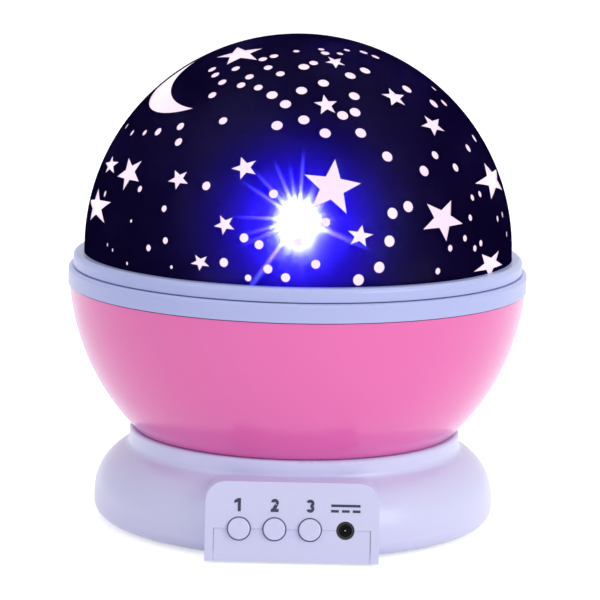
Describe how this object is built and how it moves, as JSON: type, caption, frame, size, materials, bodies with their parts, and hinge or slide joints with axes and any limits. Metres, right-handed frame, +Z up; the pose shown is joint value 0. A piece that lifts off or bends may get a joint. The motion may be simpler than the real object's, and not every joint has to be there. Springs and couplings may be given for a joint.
{
  "type": "star night light projector",
  "caption": "Domed star night light: a dark star mask over a turning pink bowl on a pale round base with buttons and a power socket.",
  "frame": {"origin": "centre of the part's box, on the floor: the turning axis where it meets the underside of the feet", "axes": "+Z up along the turning axis, the button panel faces -Y, +X to the right of someone facing the panel"},
  "size_m": [0.1318, 0.1318, 0.14],
  "materials": {
    "base_plastic": "satin",
    "cover_plastic": "matte",
    "pink_plastic": "gloss",
    "ring_plastic": "satin",
    "white_plastic": "matte",
    "clear_plastic": "gloss",
    "night_film": "gloss",
    "lamp_lens": "gloss",
    "red_lens": "gloss",
    "green_lens": "gloss",
    "blue_lens": "gloss",
    "acetal": "satin",
    "screw_steel": "bright",
    "motor_steel": "satin",
    "contact_nickel": "bright",
    "board_laminate": "satin",
    "lamp_laminate": "satin",
    "black_plastic": "satin",
    "cell_sleeve": "gloss",
    "foot_rubber": "matte",
    "mark_ink": "matte",
    "wire_jacket": "satin"
  },
  "bodies": {
    "base": {"base_shell": "base_plastic", "bottom_cover": "cover_plastic", "rubber_feet": "foot_rubber", "case_screws": "screw_steel", "batteries": "cell_sleeve", "battery_springs": "contact_nickel", "battery_contacts": "contact_nickel", "control_board": "board_laminate", "board_screws": "screw_steel", "tact_switches": "black_plastic", "dc_jack": "black_plastic", "dc_jack_pin": "contact_nickel", "panel_marks": "mark_ink", "motor": "motor_steel", "motor_screws": "screw_steel", "spindle": "white_plastic", "spindle_screws": "screw_steel", "thrust_washer": "acetal", "retaining_ring": "white_plastic", "retaining_screws": "screw_steel", "lamp_column": "white_plastic", "lamp_head": "white_plastic", "lamp_wires": "wire_jacket", "led_board": "lamp_laminate", "led_white": "lamp_lens", "led_red": "red_lens", "led_green": "green_lens", "led_blue": "blue_lens"},
    "bowl": {"bowl": "pink_plastic", "bowl_gear": "acetal", "rim_ring": "ring_plastic", "light_tray": "white_plastic", "tray_screws": "screw_steel"},
    "dome": {"dome_ring": "ring_plastic", "dome_shell": "clear_plastic", "dome_skin": "night_film"},
    "pinion": {"pinion": "acetal"},
    "button_1": {"button_1": "base_plastic"},
    "button_2": {"button_2": "base_plastic"},
    "button_3": {"button_3": "base_plastic"},
    "battery_door": {"battery_door": "cover_plastic", "door_screw": "screw_steel"}
  },
  "joints": [
    {"name": "bowl_spin", "type": "hinge", "parent": "base", "child": "bowl", "pos_m": [0, 0, 0.03], "axis": [0, 0, 1], "continuous": true},
    {"name": "pinion_spin", "type": "hinge", "parent": "base", "child": "pinion", "pos_m": [0, -0.0288, 0.0229], "axis": [0, 0, 1], "continuous": true},
    {"name": "dome_lift", "type": "slide", "parent": "bowl", "child": "dome", "axis": [0, 0, 1], "range_m": [0, 0.09]},
    {"name": "button_1_press", "type": "slide", "parent": "base", "child": "button_1", "axis": [0, 0.9703, -0.2419], "range_m": [0, 0.0008], "stiffness_N_per_m": 400, "springref_m": -0.001},
    {"name": "button_2_press", "type": "slide", "parent": "base", "child": "button_2", "axis": [0, 0.9703, -0.2419], "range_m": [0, 0.0008], "stiffness_N_per_m": 400, "springref_m": -0.001},
    {"name": "button_3_press", "type": "slide", "parent": "base", "child": "button_3", "axis": [0, 0.9703, -0.2419], "range_m": [0, 0.0008], "stiffness_N_per_m": 400, "springref_m": -0.001},
    {"name": "battery_door_open", "type": "hinge", "parent": "base", "child": "battery_door", "pos_m": [0, 0.00506, 0.0008], "axis": [-1, 0, 0], "range_deg": [0, 60]}
  ],
  "couplings": [
    {"joint": "pinion_spin", "follows": "bowl_spin", "ratio": -5}
  ]
}
